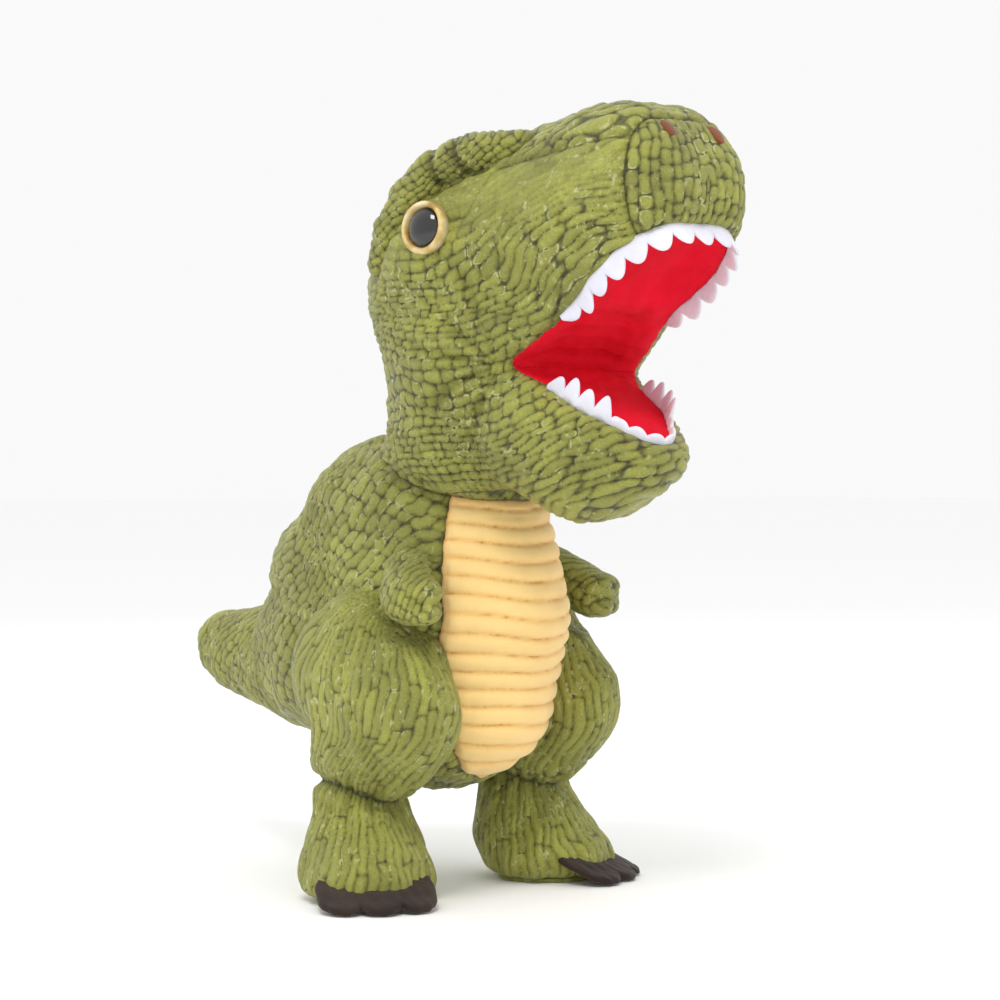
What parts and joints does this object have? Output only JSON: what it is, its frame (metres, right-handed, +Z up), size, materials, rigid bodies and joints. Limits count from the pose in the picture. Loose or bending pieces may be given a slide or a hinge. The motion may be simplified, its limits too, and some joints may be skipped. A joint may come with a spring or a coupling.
{
  "type": "stuffed dinosaur",
  "caption": "Stuffed plush dinosaur standing upright with its mouth wide open, felt teeth and claws, plastic eyes and a ribbed belly.",
  "frame": {"origin": "on the floor, under the middle of the bounding box", "axes": "+Z up, the toy faces -Y, its right side is at -X"},
  "size_m": [0.1884, 0.377, 0.351],
  "materials": {
    "green_scale_plush": "satin",
    "belly_plush": "matte",
    "mouth_fabric": "matte",
    "tooth_felt": "matte",
    "claw_felt": "matte",
    "nostril_embroidery": "matte",
    "eye_ring_plastic": "gloss",
    "eye_dome_plastic": "gloss",
    "washer_plastic": "matte",
    "fibre_stuffing": "matte",
    "pellet_bag": "matte"
  },
  "bodies": {
    "torso": {"torso_skin": "green_scale_plush", "belly_panel": "belly_plush", "torso_stuffing": "fibre_stuffing"},
    "head": {"head_skin": "green_scale_plush", "muzzle_cap": "green_scale_plush", "palate_lining": "mouth_fabric", "upper_teeth": "tooth_felt", "head_stuffing": "fibre_stuffing", "brow_right": "green_scale_plush", "eye_rim_right": "eye_ring_plastic", "eye_pupil_right": "eye_dome_plastic", "eye_washer_right": "washer_plastic", "nostril_right": "nostril_embroidery", "brow_left": "green_scale_plush", "eye_rim_left": "eye_ring_plastic", "eye_pupil_left": "eye_dome_plastic", "eye_washer_left": "washer_plastic", "nostril_left": "nostril_embroidery"},
    "jaw": {"jaw_skin": "green_scale_plush", "jaw_lining": "mouth_fabric", "lower_teeth": "tooth_felt", "jaw_stuffing": "fibre_stuffing"},
    "tail": {"tail_skin": "green_scale_plush", "tail_stuffing": "fibre_stuffing"},
    "arm_right": {"arm_skin_right": "green_scale_plush", "arm_stuffing_right": "fibre_stuffing"},
    "leg_right": {"thigh_skin_right": "green_scale_plush", "thigh_stuffing_right": "fibre_stuffing", "foot_skin_right": "green_scale_plush", "foot_pellet_bag_right": "pellet_bag", "foot_sole_right": "green_scale_plush", "claws_right": "claw_felt"},
    "arm_left": {"arm_skin_left": "green_scale_plush", "arm_stuffing_left": "fibre_stuffing"},
    "leg_left": {"thigh_skin_left": "green_scale_plush", "thigh_stuffing_left": "fibre_stuffing", "foot_skin_left": "green_scale_plush", "foot_pellet_bag_left": "pellet_bag", "foot_sole_left": "green_scale_plush", "claws_left": "claw_felt"}
  },
  "joints": [
    {"name": "neck_nod", "type": "hinge", "parent": "torso", "child": "head", "pos_m": [0, -0.0345, 0.196], "axis": [-1, 0, 0], "range_deg": [-10, 10], "stiffness_Nm_per_rad": 3, "springref_deg": 1.72},
    {"name": "jaw_open_close", "type": "hinge", "parent": "head", "child": "jaw", "pos_m": [0, -0.1045, 0.24], "axis": [-1, 0, 0], "range_deg": [-5, 25], "stiffness_Nm_per_rad": 0.6, "springref_deg": 0.86},
    {"name": "tail_wag", "type": "hinge", "parent": "torso", "child": "tail", "pos_m": [0, 0.0495, 0.098], "axis": [0, 0, 1], "range_deg": [-20, 20], "stiffness_Nm_per_rad": 0.8},
    {"name": "arm_swing_right", "type": "hinge", "parent": "torso", "child": "arm_right", "pos_m": [-0.042, -0.0405, 0.15], "axis": [-1, 0, 0], "range_deg": [-8, 40], "stiffness_Nm_per_rad": 0.08, "springref_deg": 0.57},
    {"name": "hip_swing_right", "type": "hinge", "parent": "torso", "child": "leg_right", "pos_m": [-0.045, -0.0185, 0.102], "axis": [-1, 0, 0], "range_deg": [-8, 8], "stiffness_Nm_per_rad": 10},
    {"name": "arm_swing_left", "type": "hinge", "parent": "torso", "child": "arm_left", "pos_m": [0.042, -0.0405, 0.15], "axis": [-1, 0, 0], "range_deg": [-8, 40], "stiffness_Nm_per_rad": 0.08, "springref_deg": 0.57},
    {"name": "hip_swing_left", "type": "hinge", "parent": "torso", "child": "leg_left", "pos_m": [0.045, -0.0185, 0.102], "axis": [-1, 0, 0], "range_deg": [-8, 8], "stiffness_Nm_per_rad": 10}
  ]
}
